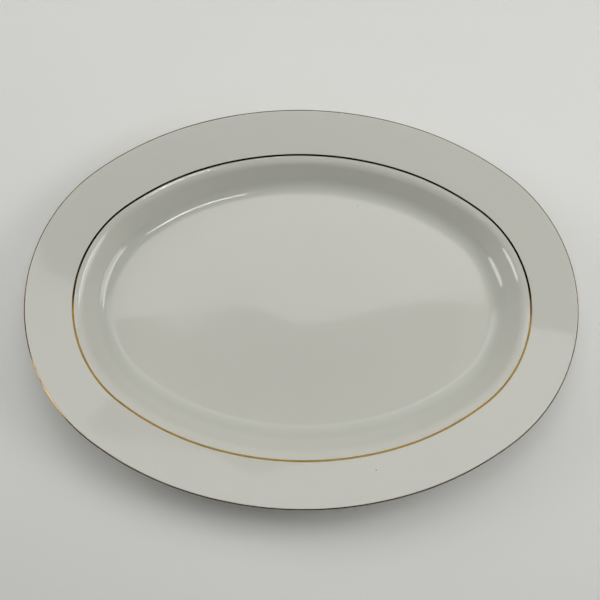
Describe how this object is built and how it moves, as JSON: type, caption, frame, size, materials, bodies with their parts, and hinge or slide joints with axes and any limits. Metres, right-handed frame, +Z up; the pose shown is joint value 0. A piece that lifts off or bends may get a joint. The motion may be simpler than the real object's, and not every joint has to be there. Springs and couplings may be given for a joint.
{
  "type": "oval serving platter",
  "caption": "Oval glazed china platter with a broad sloping rim, a deep flat well, a low foot ring and thin gold lines around the edge and the verge.",
  "frame": {"origin": "centre of the oval, on the plane the foot ring stands on", "axes": "+X along the platter's length, +Y across it, +Z up out of the well"},
  "size_m": [0.3556, 0.2588, 0.032],
  "materials": {
    "china_body": "fired white china, bare and finely ground on the foot ring",
    "glaze": "glossy clear glaze over white china, faintly rippled",
    "gilding": "burnished gold, thin and slightly worn"
  },
  "bodies": {
    "root": {"china_body": "china_body", "face_glaze": "glaze", "back_glaze": "glaze", "foot_well_glaze": "glaze", "verge_gilding": "gilding", "edge_gilding": "gilding"}
  },
  "joints": []
}
